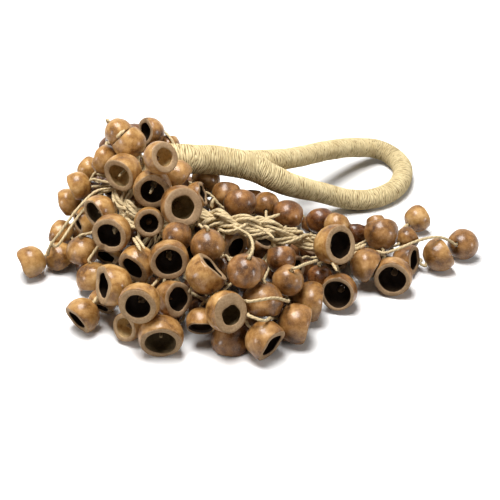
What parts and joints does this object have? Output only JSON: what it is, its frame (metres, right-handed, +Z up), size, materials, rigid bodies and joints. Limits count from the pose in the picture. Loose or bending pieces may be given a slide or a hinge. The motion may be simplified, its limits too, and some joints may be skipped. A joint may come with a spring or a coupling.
{
  "type": "nutshell shaker bracelet",
  "caption": "Hand shaker: a tassel of half nutshells knotted on strings, heaped at the end of a stem and hand loop of wound cord.",
  "frame": {"origin": "middle of the resting object's footprint box, on the surface that it lies on", "axes": "+Z up; +X along the longest extent, towards the hand loop's end; +Y away from the tassel's front"},
  "size_m": [0.3444, 0.3024, 0.1076],
  "materials": {
    "nutshell": "polished natural shell",
    "cord": "pale twisted plant-fibre string",
    "winding": "pale twine wound in close rows"
  },
  "bodies": {
    "root": {"cord_bundle": "cord", "handle_winding": "winding", "nut_01": "nutshell", "nut_02": "nutshell", "nut_03": "nutshell", "nut_04": "nutshell", "nut_05": "nutshell", "nut_06": "nutshell", "nut_07": "nutshell", "nut_08": "nutshell", "nut_09": "nutshell", "nut_10": "nutshell", "nut_11": "nutshell", "nut_12": "nutshell", "nut_13": "nutshell", "nut_14": "nutshell", "nut_15": "nutshell", "nut_16": "nutshell", "nut_17": "nutshell", "nut_18": "nutshell", "nut_19": "nutshell", "nut_20": "nutshell", "nut_21": "nutshell", "nut_22": "nutshell", "nut_23": "nutshell", "nut_24": "nutshell", "nut_25": "nutshell", "nut_26": "nutshell", "nut_27": "nutshell", "nut_28": "nutshell", "nut_29": "nutshell", "nut_30": "nutshell", "nut_31": "nutshell", "nut_32": "nutshell", "nut_33": "nutshell", "nut_34": "nutshell", "nut_35": "nutshell", "nut_36": "nutshell", "nut_37": "nutshell", "nut_38": "nutshell", "nut_39": "nutshell", "nut_40": "nutshell", "nut_41": "nutshell", "nut_42": "nutshell", "nut_43": "nutshell", "nut_44": "nutshell", "nut_45": "nutshell", "nut_46": "nutshell", "nut_47": "nutshell", "nut_48": "nutshell", "nut_49": "nutshell", "nut_50": "nutshell", "nut_51": "nutshell", "nut_52": "nutshell", "nut_53": "nutshell", "nut_54": "nutshell", "nut_55": "nutshell", "nut_56": "nutshell", "nut_57": "nutshell", "nut_58": "nutshell"}
  },
  "joints": []
}
